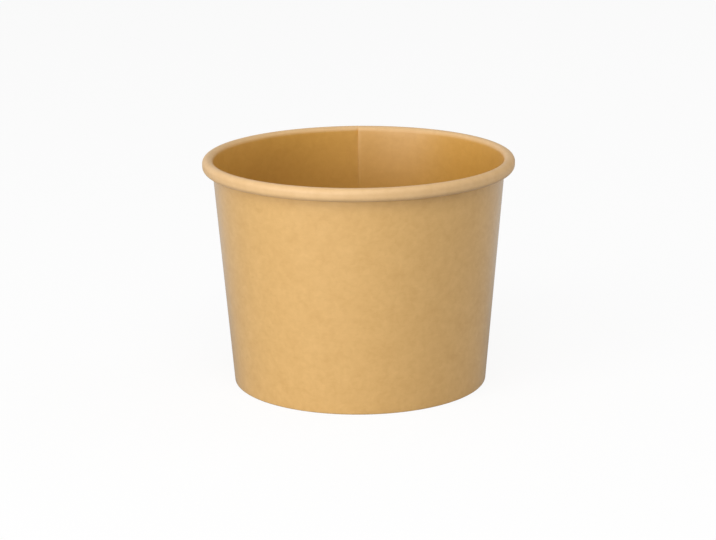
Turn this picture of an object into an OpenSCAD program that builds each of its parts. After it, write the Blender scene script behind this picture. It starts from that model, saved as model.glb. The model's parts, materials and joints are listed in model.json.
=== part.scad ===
// Paper ice cream tub, made of two glued board blanks.
// The side wall is rolled to a cone with a lap seam, curled over at the rim and hemmed at the base.
// The bottom disc has a drawn skirt that the wall and its hem grip between them.
// Origin: centre of the ring the tub stands on. Up is +Z, and the lap seam is at the back, on +Y.

/* [Tub] */
// Outside diameter of the rolled rim
rim_d = 97; // [90:0.5:104]
// Outside diameter of the side wall at the base
base_d = 79.4; // [72:0.2:84]
// Height from the resting ring to the top of the rim
height = 71.7; // [55:0.1:90]

/* [Board] */
// Thickness of the side wall board
wall_t = 0.45; // [0.35:0.05:0.6]
// Thickness of the bottom disc board
disc_t = 0.4; // [0.3:0.05:0.5]
// Glue line on each side of the skirt
glue_t = 0.02; // [0.01:0.01:0.05]

/* [Rolled rim] */
// Width of the roll, across the rim
roll_w = 3.4; // [3:0.1:4]
// Height of the roll
roll_h = 4.15; // [4.1:0.05:5]
// Clearance between the roll's free edge and the lap behind it
roll_clear = 0.15; // [0.1:0.05:0.3]

/* [Lap seam] */
// Width of the overlap, seen outside the tub
lap_w = 7; // [5:0.5:12]
// Share of the board's thickness by which the two layers are pressed into each other
lap_press_share = 0.22; // [0.18:0.02:0.3]
// How much flatter the wall runs where it climbs over the lap, as a share of the tub's radius
flank_share = 2; // [1:0.5:4]
// Direction of the seam round the tub, counted from +X
seam_a = 90; // [0:5:355]

/* [Base] */
// Depth of the recess under the bottom disc
recess_h = 7; // [5:0.5:10]
// Distance from the hem's free edge up to the underside of the disc
hem_drop = 1; // [0.8:0.1:2]
// Outer radius of the bend between the disc and its skirt
bend_r = 1; // [0.8:0.1:1.2]
// Share of the folded stack's half width that each corner of the fold rounds off
fold_share = 0.75; // [0.7:0.01:0.8]

/* [Hidden] */
$fn = 180;
board_brown = [0.84, 0.68, 0.45];
disc_brown = [0.76, 0.58, 0.34];
rim_r = rim_d / 2;
base_r = base_d / 2;

// Turn between two neighbouring points of a bend's outline
bend_step_a = 10;

// Centres of the roll's upper and lower bends
roll_r = roll_w / 2;
roll_x = rim_r - roll_r;
roll_hi = height - roll_r;
roll_lo = height - roll_h + roll_r;

// The wall leans so that its inner face runs into the roll's upper bend
roll_reach = [roll_x - base_r, roll_hi];
lean = atan2(roll_reach[0], roll_reach[1]) - asin((roll_r - wall_t) / norm(roll_reach));

// Depths of the layers at the base, from the wall's outer face inwards
skirt_out = wall_t + glue_t;
skirt_in = skirt_out + disc_t;
hem_out = skirt_in + glue_t;
hem_in = hem_out + wall_t;
hem_h = recess_h - hem_drop;
fold_r = fold_share * hem_in / 2;
leg_h = wall_t + fold_r;

// The outer layer of the seam climbs by one step of the lap, round an axis set back from the tub's own
lap_step = wall_t * (1 - lap_press_share);
tail_share = 0.93;
mid_r = wall_r(height / 2);
lap_r = mid_r + lap_step;
set_back = flank_share * mid_r;
flank_a = acos((mid_r * mid_r + 2 * mid_r * set_back - lap_r * lap_r) / (2 * lap_r * set_back));
flank_end_a = atan2(set_back * sin(flank_a), lap_r + set_back * cos(flank_a));
lap_a = 2 * asin(lap_w / (2 * lap_r));

// Turns by which the layers run into each other where one takes over from the next
bite_a = atan2(wall_t, lap_r + set_back);
join_a = atan2(wall_t, lap_r);
tail_end_a = atan2(glue_t, lap_r);

// The roll stops where its free edge stands clear of the lap
roll_end_gap = lap_step + roll_clear;
roll_end_depth = (roll_x - wall_r(roll_lo)) * cos(lean);
roll_end_a = -acos((roll_end_gap - roll_end_depth) / roll_r) - lean;

// Radius of the wall's outer face at height z
function wall_r(z) = base_r + z * tan(lean);

// Point of the section that lies at depth t inside the wall's outer face, at height z
function layer(t, z) = [wall_r(z) - t / cos(lean), z];

// Points of a bend round centre c with radius r, from direction a1 to direction a2
function bend(c, r, a1, a2) =
  let (way = sign(a2 - a1))
  let (first = way > 0 ? floor(a1 / bend_step_a) + 1 : ceil(a1 / bend_step_a) - 1)
  let (last = way > 0 ? ceil(a2 / bend_step_a) - 1 : floor(a2 / bend_step_a) + 1)
  let (turns = concat([a1], [for (i = [first:way:last]) i * bend_step_a], [a2]))
  [for (a = turns) c + r * [cos(a), sin(a)]];

// Section of the rolled rim: over the top, down the outside and back in under it
module roll_section() {
  hi = [roll_x, roll_hi];
  lo = [roll_x, roll_lo];
  inside_r = roll_r - wall_t;
  polygon(concat(
    [layer(wall_t, roll_lo)],
    bend(hi, roll_r, 180 - lean, 0),
    bend(lo, roll_r, 0, roll_end_a),
    bend(lo, inside_r, roll_end_a, 0),
    bend(hi, inside_r, 0, 180 - lean),
    [layer(0, roll_lo)]
  ));
}

// Section of the wall between the fold and the roll
module wall_section() {
  polygon([layer(0, leg_h), layer(0, roll_lo), layer(wall_t, roll_lo), layer(wall_t, leg_h)]);
}

// Section of the fold under the wall and the hem that stands up inside it
module fold_section() {
  polygon(concat(
    [layer(0, leg_h)],
    bend(layer(fold_r, fold_r), fold_r, -lean, -90),
    bend(layer(hem_in - fold_r, fold_r), fold_r, -90, -180 - lean),
    [layer(hem_in, hem_h), layer(hem_out, hem_h)],
    [layer(hem_out, wall_t), layer(wall_t, wall_t), layer(wall_t, leg_h)]
  ));
}

// Section of the disc, its bend and its skirt
module disc_section() {
  floor_z = recess_h + disc_t;
  c = layer(skirt_out + bend_r, floor_z - bend_r);
  polygon(concat(
    [[0, floor_z]],
    bend(c, bend_r, 90, -lean),
    [layer(skirt_out, wall_t), layer(skirt_in, wall_t)],
    bend(c, bend_r - disc_t, -lean, 90),
    [[0, recess_h]]
  ));
}

// Wall from the seam round to where the outer layer begins to climb
module inner_layer() {
  start_a = flank_a - join_a;
  rotate_extrude(start = start_a, angle = 360 - start_a) wall_section();
}

// Wall that climbs away from the inside, up to the seam and just past it
module outer_flank() {
  start_a = flank_end_a - bite_a;
  translate([-set_back * cos(flank_a), -set_back * sin(flank_a), 0])
    rotate_extrude(start = start_a, angle = flank_a - start_a)
      translate([set_back + glue_t, 0]) wall_section();
}

// Outer layer of the overlap, glued to the outside of the wall
module outer_tail() {
  rotate_extrude(start = -lap_a, angle = lap_a - tail_end_a)
    translate([tail_share * lap_step, 0]) wall_section();
}

// The fan-shaped blank: cone, lap seam, rolled rim and hem
module side_wall() {
  color(board_brown) rotate([0, 0, seam_a]) {
    rotate_extrude() roll_section();
    rotate_extrude() fold_section();
    inner_layer();
    outer_flank();
    outer_tail();
  }
}

// The round blank: disc and drawn skirt, standing in the slot between the wall and the hem
module bottom_disc() {
  color(disc_brown) rotate_extrude() disc_section();
}

side_wall();
bottom_disc();
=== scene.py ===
# %% [markdown]
# # A paper ice cream tub
# The tub is made of two pieces of kraft board. A fan-shaped blank is rolled into a cone, glued along a lap
# seam, curled over at the top and folded in at the bottom. A round blank with a drawn skirt closes the base.
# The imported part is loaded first. It is the fixed frame, and every piece below is modelled inside it.

# %% Load the frame
import json
import math

import bpy
from mathutils import Matrix, Vector


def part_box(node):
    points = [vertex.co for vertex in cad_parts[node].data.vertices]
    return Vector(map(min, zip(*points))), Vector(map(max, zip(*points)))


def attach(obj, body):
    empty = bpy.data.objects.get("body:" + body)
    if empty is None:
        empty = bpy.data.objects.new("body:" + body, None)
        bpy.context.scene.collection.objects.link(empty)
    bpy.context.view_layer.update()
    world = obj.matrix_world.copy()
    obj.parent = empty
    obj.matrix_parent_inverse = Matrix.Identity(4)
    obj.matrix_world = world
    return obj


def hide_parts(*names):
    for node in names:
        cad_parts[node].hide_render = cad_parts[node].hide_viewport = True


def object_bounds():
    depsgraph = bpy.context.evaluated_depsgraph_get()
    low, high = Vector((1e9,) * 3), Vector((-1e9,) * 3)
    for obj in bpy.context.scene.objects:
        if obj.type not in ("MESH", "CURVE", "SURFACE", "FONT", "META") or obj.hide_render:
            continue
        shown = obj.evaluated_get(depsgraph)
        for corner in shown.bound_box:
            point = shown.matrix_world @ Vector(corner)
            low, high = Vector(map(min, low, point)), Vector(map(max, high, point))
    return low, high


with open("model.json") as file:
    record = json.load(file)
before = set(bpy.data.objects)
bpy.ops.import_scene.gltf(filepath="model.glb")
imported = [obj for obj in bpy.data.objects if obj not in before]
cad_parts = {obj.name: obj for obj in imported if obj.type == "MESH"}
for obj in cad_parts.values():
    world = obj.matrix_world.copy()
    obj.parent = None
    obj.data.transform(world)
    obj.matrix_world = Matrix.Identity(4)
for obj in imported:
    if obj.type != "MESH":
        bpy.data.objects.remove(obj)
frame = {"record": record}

frame_low, frame_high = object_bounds()
scene = bpy.context.scene
scene.view_settings.view_transform = "Standard"
print("frame size in mm:", [round(1000 * side, 2) for side in frame_high - frame_low])

# %% [markdown]
# ## Sizes
# Blender works in metres, but a paper tub is easier to read in millimetres, so sizes are written in
# millimetres and scaled once. The rim's radius, the height and the floor of the tub come from the frame.
# The board's thickness, the width of the roll and the layers at the base repeat the solids' own values.

# %% Sizes of the two blanks
MM = 0.001
mounts = {mount["name"]: mount for mount in frame["record"]["mounts"]}
_, disc_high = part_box("bottom_disc")

rim_r = mounts["lid_rim"]["dims"]["r_mm"] * MM
height = frame_high.z
floor_z = disc_high.z
base_r = 39.7 * MM
wall_t = 0.45 * MM
disc_t = 0.40 * MM
glue_t = 0.02 * MM

roll_r = 1.7 * MM
roll_h = 4.15 * MM
roll_x = rim_r - roll_r
roll_hi = height - roll_r
roll_lo = height - roll_h + roll_r
roll_end = math.radians(-123)

reach = Vector((roll_x - base_r, roll_hi))
lean = math.atan2(reach.x, reach.y) - math.asin((roll_r - wall_t) / reach.length)

skirt_out = wall_t + glue_t
hem_in = skirt_out + disc_t + glue_t + wall_t
hem_h = 6.0 * MM
fold_share = 0.75
fold_r = fold_share * hem_in / 2
bend_r = 1.0 * MM


def layer(depth, z):
    """Point of the section, as radius and height, at a depth inside the wall's outer face."""
    return Vector((base_r + z * math.tan(lean) - depth / math.cos(lean), z))


print("wall leans by", round(math.degrees(lean), 2), "degrees")
print("folded stack is", round(hem_in / MM, 2), "mm thick")

# %% [markdown]
# ## A pen for sections
# A sheet of board is easiest to draw as a line: the line is its section, and a spin turns the line into the
# sheet. One vertex is the pen. Extruding it draws a straight run and spinning it round a centre draws a bend,
# so the line gets the same corners as a blank that is folded on a machine.

# %% Helpers that draw a section with one vertex
def start_section(name, point):
    """A new mesh with a single vertex at a point of the section, which lies in the plane of the seam."""
    if bpy.context.object and bpy.context.object.mode != "OBJECT":
        bpy.ops.object.mode_set(mode="OBJECT")
    bpy.ops.object.select_all(action="DESELECT")
    bpy.ops.mesh.primitive_plane_add(size=wall_t)
    piece = bpy.context.object
    piece.name = piece.data.name = name
    bpy.ops.object.mode_set(mode="EDIT")
    bpy.ops.mesh.select_mode(type="VERT")
    bpy.ops.mesh.merge(type="CENTER")
    bpy.ops.transform.translate(value=(0, point.x, point.y))
    return piece


def draw_run(here, there, pieces=1):
    """A straight run of the section from one point to the next."""
    step = (there - here) / pieces
    for _ in range(pieces):
        bpy.ops.mesh.extrude_vertices_move(TRANSFORM_OT_translate={"value": (0, step.x, step.y)})
    return there


def draw_bend(centre, radius, start, end, steps):
    """A bend of the section round a centre. Spin counts turns the other way, so the angle is negated."""
    bpy.ops.mesh.spin(steps=steps, angle=start - end, center=(0, centre.x, centre.y), axis=(1, 0, 0))
    return centre + radius * Vector((math.cos(end), math.sin(end)))


print("section helpers ready")

# %% [markdown]
# ## The side wall's section
# The line follows the face of the board that is outside on the wall. It starts at the hem's free edge inside
# the base, runs down, round the fold, up the wall, over the roll and back in under it. The board's thickness
# is added later on the other side, so the board is equally thick in the tight fold and in the wide roll.

# %% Draw the wall's section
right_turn = math.radians(90)
across_board = Vector((-math.cos(lean), math.sin(lean)))
fold_in = layer(hem_in - fold_r, fold_r)
fold_out = layer(fold_r, fold_r)
curl_hi = Vector((roll_x, roll_hi))
curl_lo = Vector((roll_x, roll_lo))
curl_r = roll_r - wall_t

pen = layer(hem_in, hem_h)
wall = start_section("tub_wall", pen)
pen = draw_run(pen, fold_in + fold_r * across_board, pieces=6)
pen = draw_bend(fold_in, fold_r, 2 * right_turn - lean, 3 * right_turn, steps=6)
pen = draw_run(pen, Vector((fold_out.x, 0)))
pen = draw_bend(fold_out, fold_r, -right_turn, -lean, steps=6)
pen = draw_run(pen, curl_hi + curl_r * across_board, pieces=36)
pen = draw_bend(curl_hi, curl_r, 2 * right_turn - lean, 0, steps=18)
pen = draw_run(pen, Vector((roll_x + curl_r, roll_lo)))
pen = draw_bend(curl_lo, curl_r, 0, roll_end, steps=12)
bpy.ops.object.mode_set(mode="OBJECT")
section_points = len(wall.data.vertices)
print("wall section:", section_points, "points")

# %% [markdown]
# ## Measuring along the board
# Fibres lie in the sheet and go over the rim with it. To let the finish follow the board, every point of the
# section keeps how far along the board it is. A spin copies this value to every point that it makes, so no
# unwrapping is needed. The lap and the rim's finish also need to know where the wall and the roll begin.

# %% Note the distance along the section
neighbours = {v.index: [] for v in wall.data.vertices}
for edge in wall.data.edges:
    a, b = edge.vertices
    neighbours[a].append(b)
    neighbours[b].append(a)
free_ends = [i for i in neighbours if len(neighbours[i]) == 1]
hem_edge = min(free_ends, key=lambda i: wall.data.vertices[i].co.z)
along = wall.data.attributes.new("along", "FLOAT", "POINT")
order = [hem_edge]
distance = 0.0
while len(order) < section_points:
    here = order[-1]
    there = next(i for i in neighbours[here] if i not in order)
    distance += (wall.data.vertices[there].co - wall.data.vertices[here].co).length
    along.data[there].value = distance
    order.append(there)
print("board is", round(distance / MM, 1), "mm from hem edge to curled edge")

# %% Find where the wall and the roll begin on the board
def along_at(point):
    """Distance along the board of the section's point that lies nearest to a radius and height."""
    place = Vector((0, point.x, point.y))
    return along.data[min(order, key=lambda i: (wall.data.vertices[i].co - place).length)].value


fold_end = along_at(layer(0, fold_r))
roll_start = along_at(curl_hi + curl_r * across_board)
board_places = [along.data[i].value for i in range(section_points)]
print("wall runs from", round(fold_end / MM, 1), "to", round(roll_start / MM, 1), "mm along the board")

# %% [markdown]
# ## Rolling the cone
# On a forming machine the blank is wrapped round a mandrel until its two ends overlap. A spin does the same.
# It stops a hair short of a full turn, so the two ends stay apart, and it starts at the back, on +Y, where
# the seam is. Each point also notes how far round the blank it is, so the two ends don't share one grain.

# %% Spin the section round to the seam
columns = 240
seam_slit = 0.0001
full_turn = 2 * math.pi - seam_slit
mid_r = layer(0, height / 2).x
bpy.ops.object.mode_set(mode="EDIT")
bpy.ops.mesh.select_all(action="SELECT")
bpy.ops.mesh.spin(steps=columns, angle=full_turn, center=(0, 0, 0), axis=(0, 0, 1))
bpy.ops.object.mode_set(mode="OBJECT")

around = wall.data.attributes.new("around", "FLOAT", "POINT")
for v in wall.data.vertices:
    around.data[v.index].value = mid_r * full_turn * (v.index // section_points) / columns
print("rolled sheet:", len(wall.data.vertices), "points in", columns + 1, "columns")

# %% [markdown]
# ## Pressing the lap
# The board is stiff, so near the seam it doesn't stay round. The inner end runs straight for a few
# millimetres and the outer end climbs over it by one board, over a longer stretch. Seen from inside this
# makes a shallow corner with one sharp line, the cut edge of the inner end. A lattice could bend the ends
# too, but a short formula of the distance from the seam keeps them one board apart. The curl of the rim is
# pressed hard and stays round, so the shift dies out over the top of the roll. The turns where it starts and
# stops doing so are in degrees round the roll's upper bend.

# %% Shape of the two ends near the seam
press = 0.27 * MM
lap_gap = 0.01 * MM
climb = wall_t + lap_gap
inner_flank = 4.3 * MM
outer_flank = 11.4 * MM
fade_starts = 150
fade_stops = 50
wall_turns_end = 270


def ease(share):
    """Runs from 0 to 1 with a soft start and end."""
    share = min(1.0, max(0.0, share))
    return share * share * (3 - 2 * share)


def lap_share(r, z):
    """How much of the lap's shift a point takes: all on the wall, none on the hem or past the roll's top."""
    depth = (layer(0, z).x - r) * math.cos(lean)
    if z < roll_lo:
        return 1 - ease(depth / hem_in) if depth > -glue_t else 0.0
    turn = math.degrees(math.atan2(z - roll_hi, r - roll_x)) % 360
    return ease((turn - fade_stops) / (fade_starts - fade_stops)) if turn < wall_turns_end else 0.0


def inner_rise(away):
    """Shift of the inner end, at a distance from the seam."""
    return press * max(0.0, 1 - away / inner_flank) ** 2


def outer_rise(away):
    """Shift of the outer end, at a distance from the seam."""
    return (press + climb) * max(0.0, 1 - away / outer_flank) ** 2


print("outer end stands", round((press + climb) / MM, 2), "mm off the round at the seam")

# %% Move the two ends outwards
def push_out(v, shift):
    """Moves a vertex away from the tub's axis."""
    r = math.hypot(v.co.x, v.co.y)
    v.co.x *= 1 + shift / r
    v.co.y *= 1 + shift / r


for v in wall.data.vertices:
    away = around.data[v.index].value
    left = mid_r * full_turn - away
    r = math.hypot(v.co.x, v.co.y)
    push_out(v, lap_share(r, v.co.z) * max(inner_rise(away), outer_rise(left)))
print("wall reaches", round(max(v.co.y for v in wall.data.vertices) / MM, 2), "mm towards +Y")

# %% [markdown]
# ## The tail of the lap
# Past the seam the outer end goes on for the width of the lap, lying on the outside of the inner end. Only
# the last column is spun on, from the fold to just below the roll, and the new columns follow the inner end.

# %% Spin the outer end on over the lap
lap_w = 7.0 * MM
lap_steps = 12
roll_room = 1.5 * MM
tail_points = [i for i in order if fold_end - fold_r < board_places[i] < roll_start - roll_room]
last_column = columns * section_points
first_new = len(wall.data.vertices)
bpy.ops.object.mode_set(mode="EDIT")
bpy.ops.mesh.select_all(action="DESELECT")
bpy.ops.object.mode_set(mode="OBJECT")
for i in tail_points:
    wall.data.vertices[last_column + i].select = True
bpy.ops.object.mode_set(mode="EDIT")
bpy.ops.mesh.spin(steps=lap_steps, angle=lap_w / mid_r, center=(0, 0, 0), axis=(0, 0, 1))
bpy.ops.object.mode_set(mode="OBJECT")
around = wall.data.attributes["around"]
for v in wall.data.vertices[first_new:]:
    past = lap_w * (1 + (v.index - first_new) // len(tail_points)) / lap_steps
    around.data[v.index].value = mid_r * full_turn + past
    push_out(v, inner_rise(past) - press)
print("tail of the lap:", len(wall.data.vertices) - first_new, "points")

# %% [markdown]
# ## Turning the faces outwards
# A spin can leave the faces of a sheet looking either way, and the board's thickness will be added on their
# back. So doubled points are merged, the faces are made to agree, and all are flipped if the widest one looks
# into the tub. The slit at the seam is wider than the merging distance and stays open.

# %% Turn the faces of the wall
merge_gap = 0.0002 * MM


def face_outwards(piece, inside_point):
    """Turns all faces of an open sheet to the side that looks away from a point."""
    bpy.ops.object.select_all(action="DESELECT")
    piece.select_set(True)
    bpy.context.view_layer.objects.active = piece
    bpy.ops.object.mode_set(mode="EDIT")
    bpy.ops.mesh.select_all(action="SELECT")
    bpy.ops.mesh.remove_doubles(threshold=merge_gap)
    bpy.ops.mesh.normals_make_consistent(inside=False)
    bpy.ops.object.mode_set(mode="OBJECT")
    widest = max(piece.data.polygons, key=lambda p: p.area)
    if widest.normal.dot(widest.center - inside_point) < 0:
        bpy.ops.object.mode_set(mode="EDIT")
        bpy.ops.mesh.flip_normals()
        bpy.ops.object.mode_set(mode="OBJECT")


face_outwards(wall, Vector((0, 0, height / 2)))
print("wall faces:", len(wall.data.polygons))

# %% [markdown]
# ## Kraft board
# Kraft board is unbleached, so it is a warm brown. From a step away it looks nearly plain: soft clouds where
# the pulp lay thicker, a finer mottling, and short fibres that lie in all directions. The strongest fibres
# show as sparse dark marks. A picture of paper could be wrapped round the tub, but it would repeat, and noise
# doesn't. The pattern is one node group that reads the position in the sheet, so it runs over the rim with
# the board. The group gives a colour, a roughness and a height, and each finish below uses it with its own
# values. Noise scales are in waves for each metre, so 2000 is a fibre half a millimetre wide.

# %% Short fibres
fibre_turns = (0.35, 1.45, 2.5)
fibre_scale = (600, 2000, 600)


def add_node(tree, kind, **values):
    """A node with some of its settings and inputs set by name."""
    node = tree.nodes.new(kind)
    for key, value in values.items():
        if key in node.inputs:
            node.inputs[key].default_value = value
        else:
            setattr(node, key, value)
    return node


def lay_strands(tree, sheet):
    """Fibres that lie in several directions: the strongest of a few stretched noises."""
    link = tree.links.new
    strands = None
    for turn in fibre_turns:
        lay = add_node(tree, "ShaderNodeMapping", Rotation=(0, 0, turn), Location=(turn, 0, turn),
                       Scale=fibre_scale)
        link(sheet.outputs["Sheet"], lay.inputs["Vector"])
        strand = add_node(tree, "ShaderNodeTexNoise", Scale=1.0, Detail=2.0, Roughness=0.5, Distortion=0.4)
        link(lay.outputs["Vector"], strand.inputs["Vector"])
        if strands is None:
            strands = strand.outputs["Fac"]
        else:
            strongest = add_node(tree, "ShaderNodeMath", operation="MAXIMUM")
            link(strands, strongest.inputs[0])
            link(strand.outputs["Fac"], strongest.inputs[1])
            strands = strongest.outputs["Value"]
    return strands


print("fibres lie in", len(fibre_turns), "directions")

# %% The fibre pattern as a node group
group_inputs = {"Sheet": "Vector", "Pale": "Color", "Deep": "Color", "Smooth": "Float", "Rough": "Float"}
group_outputs = {"Colour": "Color", "Roughness": "Float", "Height": "Float"}
mottle_share = 0.55
strand_share = 0.25
tone_range = {"From Min": 0.38, "From Max": 0.68}
mark_range = {"From Min": 0.69, "From Max": 0.79, "To Max": 0.6}


def colour_sockets(sockets):
    """The colour sockets of a Mix node, which has hidden ones of the same name for other kinds of data."""
    return [socket for socket in sockets if socket.type == "RGBA"]


def make_fibres():
    """Group that turns a position in the sheet into a colour, a roughness and a height."""
    tree = bpy.data.node_groups.new("kraft_fibres", "ShaderNodeTree")
    for name, kind in group_inputs.items():
        tree.interface.new_socket(name, in_out="INPUT", socket_type="NodeSocket" + kind)
    for name, kind in group_outputs.items():
        tree.interface.new_socket(name, in_out="OUTPUT", socket_type="NodeSocket" + kind)
    link = tree.links.new
    sheet = add_node(tree, "NodeGroupInput")
    out = add_node(tree, "NodeGroupOutput")

    clouds = add_node(tree, "ShaderNodeTexNoise", Scale=170.0, Detail=2.0, Roughness=0.5)
    mottle = add_node(tree, "ShaderNodeTexNoise", Scale=480.0, Detail=2.0, Roughness=0.55, Distortion=0.5)
    for pattern in (clouds, mottle):
        link(sheet.outputs["Sheet"], pattern.inputs["Vector"])
    strands = lay_strands(tree, sheet)

    felt = add_node(tree, "ShaderNodeMix", data_type="FLOAT", Factor=mottle_share)
    link(clouds.outputs["Fac"], felt.inputs["A"])
    link(mottle.outputs["Fac"], felt.inputs["B"])
    pulp = add_node(tree, "ShaderNodeMix", data_type="FLOAT", Factor=strand_share)
    link(felt.outputs["Result"], pulp.inputs["A"])
    link(strands, pulp.inputs["B"])
    spread = add_node(tree, "ShaderNodeMapRange", **tone_range)
    link(pulp.outputs["Result"], spread.inputs["Value"])
    marks = add_node(tree, "ShaderNodeMapRange", **mark_range)
    link(strands, marks.inputs["Value"])
    tone = add_node(tree, "ShaderNodeMath", operation="SUBTRACT")
    link(spread.outputs["Result"], tone.inputs[0])
    link(marks.outputs["Result"], tone.inputs[1])

    tint = add_node(tree, "ShaderNodeMix", data_type="RGBA", clamp_factor=False)
    link(tone.outputs["Value"], tint.inputs["Factor"])
    dark, light = colour_sockets(tint.inputs)
    link(sheet.outputs["Deep"], dark)
    link(sheet.outputs["Pale"], light)
    link(colour_sockets(tint.outputs)[0], out.inputs["Colour"])

    gloss = add_node(tree, "ShaderNodeMapRange")
    link(spread.outputs["Result"], gloss.inputs["Value"])
    link(sheet.outputs["Rough"], gloss.inputs["To Min"])
    link(sheet.outputs["Smooth"], gloss.inputs["To Max"])
    link(gloss.outputs["Result"], out.inputs["Roughness"])
    link(strands, out.inputs["Height"])
    return tree


fibres = make_fibres()
print("node group", fibres.name, "with", len(fibres.nodes), "nodes")

# %% [markdown]
# ## Finishes of the board
# Board for ice cream has a thin clear coat on both sides against moisture. On the outside the coat is smooth
# and mirrors the surroundings where the wall turns away. On the inside it scatters more. A cut edge has no
# coat: it shows loose fibres, and is dull and paler. Each finish is a Principled shader with the fibre group
# on its colour, its roughness and a fine bump, and the coat is the shader's own.

# %% Board materials
grain_depth = 0.02 * MM


def make_board(name, pale, deep, smooth, rough, specular, bump, coat=0.0, coat_rough=0.30, on_sheet=True):
    """Kraft board that takes its grain from the sheet, or from the piece's own place for a flat disc."""
    material = bpy.data.materials.new(name)
    material.use_nodes = True
    tree = material.node_tree
    link = tree.links.new
    shader = tree.nodes["Principled BSDF"]
    grain = add_node(tree, "ShaderNodeGroup", node_tree=fibres)
    grain.name = "grain"
    grain.inputs["Pale"].default_value = (*pale, 1)
    grain.inputs["Deep"].default_value = (*deep, 1)
    grain.inputs["Smooth"].default_value = smooth
    grain.inputs["Rough"].default_value = rough
    if on_sheet:
        place = add_node(tree, "ShaderNodeCombineXYZ")
        for axis, measure in (("X", "around"), ("Y", "along")):
            reader = add_node(tree, "ShaderNodeAttribute", attribute_name=measure)
            reader.name = measure
            link(reader.outputs["Fac"], place.inputs[axis])
        link(place.outputs["Vector"], grain.inputs["Sheet"])
    else:
        place = add_node(tree, "ShaderNodeTexCoord")
        link(place.outputs["Object"], grain.inputs["Sheet"])
    relief = add_node(tree, "ShaderNodeBump", Strength=bump, Distance=grain_depth)
    link(grain.outputs["Height"], relief.inputs["Height"])
    link(relief.outputs["Normal"], shader.inputs["Normal"])
    link(grain.outputs["Colour"], shader.inputs["Base Color"])
    link(grain.outputs["Roughness"], shader.inputs["Roughness"])
    shader.inputs["Specular IOR Level"].default_value = specular
    shader.inputs["Coat Weight"].default_value = coat
    shader.inputs["Coat Roughness"].default_value = coat_rough
    return material


outside_pale = (0.700, 0.424, 0.148)
outside_deep = (0.622, 0.361, 0.112)
inside_pale = (0.598, 0.316, 0.054)
inside_deep = (0.543, 0.279, 0.040)
cut_pale = (0.70, 0.47, 0.22)
cut_deep = (0.55, 0.35, 0.14)
smooth_coat = dict(smooth=0.44, rough=0.52, specular=0.5, bump=0.25, coat=1.0, coat_rough=0.20)
silky_coat = dict(smooth=0.44, rough=0.52, specular=0.4, bump=0.20, coat=1.0, coat_rough=0.45)
no_coat = dict(smooth=0.80, rough=0.90, specular=0.3, bump=0.50)
outside_board = make_board("kraft_outside", outside_pale, outside_deep, **smooth_coat)
inside_board = make_board("kraft_coated", inside_pale, inside_deep, **silky_coat)
cut_board = make_board("kraft_cut", cut_pale, cut_deep, **no_coat)
disc_board = make_board("kraft_disc", inside_pale, inside_deep, on_sheet=False, **silky_coat)
print("board finishes:", outside_board.name, inside_board.name, cut_board.name, disc_board.name)

# %% [markdown]
# ## The rim's painted sheen
# The curl turns the inside of the board out, and the curling tool stretches and rubs it, so the rim has lost
# most of its shine. Its paler, whiter colour is a painted sheen, which stands in for the sheen and the bounce
# light on the roll. A painted mask could show where, but the distance along the board already says where the
# roll starts, so it drives both the colours and the weight of the coat.

# %% Fade the coated face over the roll
# Painted sheen: the rim's paler, whiter colours stand in for the sheen and bounce light on the roll.
rim_sheen_pale = (0.712, 0.468, 0.230)
rim_sheen_deep = (0.659, 0.419, 0.193)
rim_sheen_starts = roll_start - 0.2 * MM
rim_sheen_ends = roll_start + 1.0 * MM
rubbed_coat = 0.2


def paint_rim_sheen(material, pale, deep):
    """Paints a sheen over the roll as a paler, whiter colour of the coated face, and thins its coat there."""
    tree = material.node_tree
    link = tree.links.new
    shader = tree.nodes["Principled BSDF"]
    grain = tree.nodes["grain"]
    on_roll = add_node(tree, "ShaderNodeMapRange", interpolation_type="SMOOTHSTEP",
                       **{"From Min": rim_sheen_starts, "From Max": rim_sheen_ends})
    link(tree.nodes["along"].outputs["Fac"], on_roll.inputs["Value"])
    for name, colour in (("Pale", pale), ("Deep", deep)):
        tint = add_node(tree, "ShaderNodeMix", data_type="RGBA")
        coated, painted_sheen = colour_sockets(tint.inputs)
        coated.default_value = grain.inputs[name].default_value
        painted_sheen.default_value = (*colour, 1)
        link(on_roll.outputs["Result"], tint.inputs["Factor"])
        link(colour_sockets(tint.outputs)[0], grain.inputs[name])
    shine = add_node(tree, "ShaderNodeMapRange", **{"To Min": silky_coat["coat"], "To Max": rubbed_coat})
    link(on_roll.outputs["Result"], shine.inputs["Value"])
    link(shine.outputs["Result"], shader.inputs["Coat Weight"])


paint_rim_sheen(inside_board, rim_sheen_pale, rim_sheen_deep)
print("rim is rubbed from", round(rim_sheen_starts / MM, 1), "mm along the board")

# %% [markdown]
# ## Giving the board its thickness
# Until now the wall is a surface. Solidify adds the board on the back of its faces, with an even offset, so
# the board keeps its thickness in the bends, which a plain extrusion wouldn't give. The new face gets the
# second material, which is the inside of the board, and the cut edges get the third. A cut in paper is never
# a perfect corner, so a small bevel eases the edges, and empty faces that it leaves are dissolved.

# %% Thickness, edges and shading of the wall
smooth_angle = math.radians(40)
cut_angle = math.radians(60)
edge_round = 0.06 * MM
empty_size = 0.0005 * MM


def apply_thickness(piece, thickness, materials):
    """Thickens a sheet on its back, with its own material for the back and for the cut edges."""
    for material in materials:
        piece.data.materials.append(material)
    board = piece.modifiers.new("board", "SOLIDIFY")
    board.thickness = thickness
    board.offset = -1
    board.use_even_offset = True
    board.material_offset = 1
    board.material_offset_rim = 2
    bpy.ops.object.modifier_apply(modifier=board.name)


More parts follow.
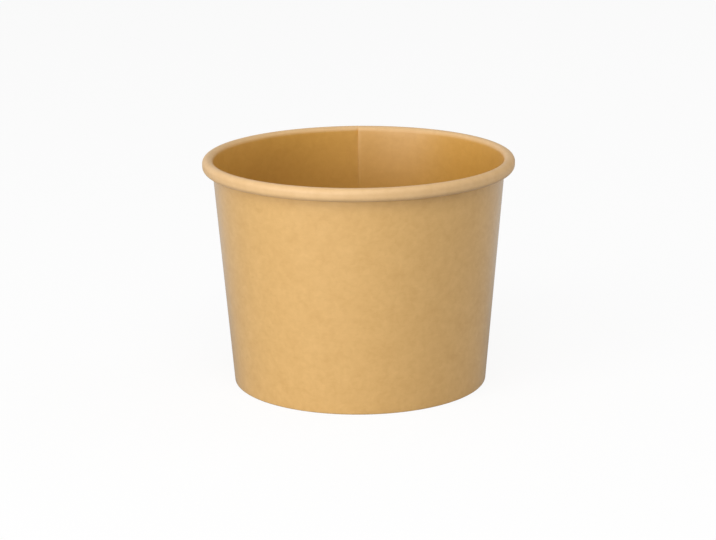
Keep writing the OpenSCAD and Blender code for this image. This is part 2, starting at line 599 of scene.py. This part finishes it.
def ease_cut_edges(width):
    """Takes the sharpness off the cut edges of the active piece."""
    bpy.ops.object.mode_set(mode="EDIT")
    bpy.ops.mesh.select_all(action="DESELECT")
    bpy.ops.mesh.select_mode(type="EDGE")
    bpy.ops.mesh.edges_select_sharp(sharpness=cut_angle)
    bpy.ops.mesh.bevel(offset=width, segments=2, affect="EDGES")
    bpy.ops.mesh.select_mode(type="VERT")
    bpy.ops.mesh.select_all(action="SELECT")
    bpy.ops.mesh.dissolve_degenerate(threshold=empty_size)
    bpy.ops.object.mode_set(mode="OBJECT")
    bpy.ops.object.shade_smooth_by_angle(angle=smooth_angle)


apply_thickness(wall, wall_t, (outside_board, inside_board, cut_board))
ease_cut_edges(edge_round)
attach(wall, "root")
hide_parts("side_wall")
print("tub_wall:", len(wall.data.polygons), "faces")

# %% [markdown]
# ## The bottom disc
# The disc is a second blank with its edge drawn down into a skirt. A cylinder could be bevelled and opened to
# the same shape, but the pen draws its section in three strokes. The line starts on the axis, so a full spin
# leaves a fan of doubled points in the middle and a doubled seam. Merging them closes both.

# %% Draw, spin and thicken the disc
disc_bend = layer(skirt_out + bend_r, floor_z - bend_r)
pen = Vector((0, floor_z))
disc = start_section("tub_floor", pen)
pen = draw_run(pen, Vector((disc_bend.x, floor_z)), pieces=12)
pen = draw_bend(disc_bend, bend_r, right_turn, -lean, steps=8)
pen = draw_run(pen, layer(skirt_out, wall_t), pieces=4)
bpy.ops.mesh.select_all(action="SELECT")
bpy.ops.mesh.spin(steps=columns, angle=2 * math.pi, center=(0, 0, 0), axis=(0, 0, 1))
bpy.ops.object.mode_set(mode="OBJECT")
face_outwards(disc, Vector((0, 0, 0)))
apply_thickness(disc, disc_t, (disc_board, disc_board, cut_board))
bpy.ops.object.shade_smooth_by_angle(angle=smooth_angle)
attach(disc, "root")
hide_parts("bottom_disc")
print("tub_floor:", len(disc.data.polygons), "faces")

# %% [markdown]
# ## The table
# The tub stands on a wide flat sweep of white paper. For the camera most of it glows at white, so the
# background stays clean, and the rest is matt and keeps the shadow of the tub. For the light that it throws
# on the tub it is a plain light grey. What the coat mirrors is a little brighter behind the tub than in front
# of it, as on a table whose background is lit, and this helps to give the tub's sides their pale edge.

# %% A white sweep
sweep_size = 8.0
bounced_white = 0.40
seen_white = 0.95
seen_glow = 0.88
mirrored_glow = {"From Min": 30 * MM, "From Max": 150 * MM, "To Min": 0.05, "To Max": 0.27}

bpy.ops.object.select_all(action="DESELECT")
bpy.ops.mesh.primitive_plane_add(size=sweep_size)
sweep = bpy.context.object
sweep.name = sweep.data.name = "white_sweep"
sweep_paint = bpy.data.materials.new("white_sweep")
sweep_paint.use_nodes = True
tree = sweep_paint.node_tree
link = tree.links.new
tree.nodes.remove(tree.nodes["Principled BSDF"])
matt = add_node(tree, "ShaderNodeBsdfDiffuse")
glow = add_node(tree, "ShaderNodeEmission", Strength=1.0)
path = add_node(tree, "ShaderNodeLightPath")
paint = add_node(tree, "ShaderNodeMapRange", **{"To Min": bounced_white, "To Max": seen_white})
link(path.outputs["Is Camera Ray"], paint.inputs["Value"])
link(paint.outputs["Result"], matt.inputs["Color"])
mirrored = add_node(tree, "ShaderNodeMath", operation="MAXIMUM")
link(path.outputs["Is Glossy Ray"], mirrored.inputs[0])
link(path.outputs["Is Transmission Ray"], mirrored.inputs[1])
spot = add_node(tree, "ShaderNodeTexCoord")
place = add_node(tree, "ShaderNodeSeparateXYZ")
link(spot.outputs["Object"], place.inputs["Vector"])
behind = add_node(tree, "ShaderNodeMapRange", **mirrored_glow)
link(place.outputs["Y"], behind.inputs["Value"])
dimmed = add_node(tree, "ShaderNodeMath", operation="MULTIPLY")
link(mirrored.outputs["Value"], dimmed.inputs[0])
link(behind.outputs["Result"], dimmed.inputs[1])
glow_share = add_node(tree, "ShaderNodeMath", operation="MULTIPLY_ADD")
link(path.outputs["Is Camera Ray"], glow_share.inputs[0])
glow_share.inputs[1].default_value = seen_glow
link(dimmed.outputs["Value"], glow_share.inputs[2])
mixed = add_node(tree, "ShaderNodeMixShader")
link(glow_share.outputs["Value"], mixed.inputs["Fac"])
link(matt.outputs["BSDF"], mixed.inputs[1])
link(glow.outputs["Emission"], mixed.inputs[2])
link(mixed.outputs["Shader"], tree.nodes["Material Output"].inputs["Surface"])
sweep.data.materials.append(sweep_paint)
print("sweep is", round(sweep.dimensions.x, 1), "m wide")

# %% [markdown]
# ## Lamps
# The tub is lit as in a small product tent. The lamps are area lamps, because their width makes the light as
# soft as that of a real softbox. Two low ones stand in front on the left, so the bright band on the wall lies
# left of the middle. A high one on the left and a high one in front light the inside and the rim. The lamp on
# the right lifts the shaded side. It stands for light that the tent scatters, so it lights the board but
# isn't mirrored in its coat.

# %% Soft lamps
aim = Vector((0, 0, height / 2))


def add_softbox(name, side, rise, wide, tall, power, away=1.2):
    """A soft area lamp, at a turn from the front towards the right and a rise above the table, in degrees."""
    turn = math.radians(side)
    up = math.radians(rise)
    towards = Vector((math.sin(turn) * math.cos(up), -math.cos(turn) * math.cos(up), math.sin(up)))
    spot = aim + away * towards
    bpy.ops.object.light_add(type="AREA", location=spot)
    lamp = bpy.context.object
    lamp.name = lamp.data.name = name
    lamp.data.shape = "RECTANGLE"
    lamp.data.size = wide
    lamp.data.size_y = tall
    lamp.data.energy = power
    lamp.rotation_euler = (aim - spot).to_track_quat("-Z", "Y").to_euler()
    return lamp


add_softbox("softbox_low_left", side=-45, rise=9, wide=0.5, tall=0.34, power=4.5)
add_softbox("softbox_low_front", side=-18, rise=9, wide=0.5, tall=0.34, power=3.15)
add_softbox("softbox_high_left", side=-45, rise=38, wide=0.6, tall=0.5, power=2.8)
add_softbox("softbox_front", side=8, rise=48, wide=0.7, tall=0.6, power=3.55)
scattered = add_softbox("softbox_right", side=110, rise=9, wide=0.5, tall=0.34, power=4.0)
scattered.visible_glossy = False

# %% [markdown]
# ## Surroundings
# The walls of the tent add an even light from all round. The camera sees them as plain white. What the coat
# mirrors is white on the left, where the lamps are, and darker towards the right, so the two halves of the
# tub's inside differ as they do in a real tent.

# %% The tent
tent_light = 0.50
mirrored_tent = {"From Min": -0.6, "From Max": 0.6, "To Min": 1.0, "To Max": 0.1}

world = bpy.data.worlds.new("tent")
scene.world = world
world.use_nodes = True
tree = world.node_tree
link = tree.links.new
tent = tree.nodes["Background"]
tent.inputs["Strength"].default_value = tent_light
tent.inputs["Color"].default_value = (1, 1, 1, 1)
backdrop = add_node(tree, "ShaderNodeBackground", Color=(1, 1, 1, 1))
path = add_node(tree, "ShaderNodeLightPath")
seen = add_node(tree, "ShaderNodeMath", operation="MAXIMUM")
link(path.outputs["Is Camera Ray"], seen.inputs[0])
link(path.outputs["Is Glossy Ray"], seen.inputs[1])
clear = add_node(tree, "ShaderNodeMath", operation="MAXIMUM")
link(seen.outputs["Value"], clear.inputs[0])
link(path.outputs["Is Transmission Ray"], clear.inputs[1])
facing = add_node(tree, "ShaderNodeTexCoord")
across = add_node(tree, "ShaderNodeSeparateXYZ")
link(facing.outputs["Generated"], across.inputs["Vector"])
darker = add_node(tree, "ShaderNodeMapRange", **mirrored_tent)
link(across.outputs["X"], darker.inputs["Value"])
level = add_node(tree, "ShaderNodeMath", operation="MAXIMUM")
link(darker.outputs["Result"], level.inputs[0])
link(path.outputs["Is Camera Ray"], level.inputs[1])
link(level.outputs["Value"], backdrop.inputs["Strength"])
mixed = add_node(tree, "ShaderNodeMixShader")
link(clear.outputs["Value"], mixed.inputs["Fac"])
link(tent.outputs["Background"], mixed.inputs[1])
link(backdrop.outputs["Background"], mixed.inputs[2])
link(mixed.outputs["Shader"], tree.nodes["World Output"].inputs["Surface"])
print("tent light:", tent_light)

# %% [markdown]
# ## Camera
# The photograph was taken with a long lens from a little above the rim. The camera's place, tilt, roll and
# focal length come from fitting the ellipses of the rim and of the base. The focal length was found in the
# photograph's pixels, so its width turns it into a lens.

# %% Camera
camera_place = [side * MM for side in (-0.45, -706.2, 220.0)]
look_down = 14.693
camera_roll = -0.48
sensor_w = 36.0
focal_px = 2322
photo_w_px = 716

bpy.ops.object.camera_add(location=camera_place)
camera = bpy.context.object
camera.name = camera.data.name = "photo_camera"
camera.data.sensor_width = sensor_w
camera.data.sensor_fit = "HORIZONTAL"
camera.data.lens = sensor_w * focal_px / photo_w_px
tilt = Matrix.Rotation(math.radians(90 - look_down), 4, "X")
camera.rotation_euler = (tilt @ Matrix.Rotation(math.radians(camera_roll), 4, "Z")).to_euler()
scene.camera = camera
print("lens", round(camera.data.lens, 1), "mm")
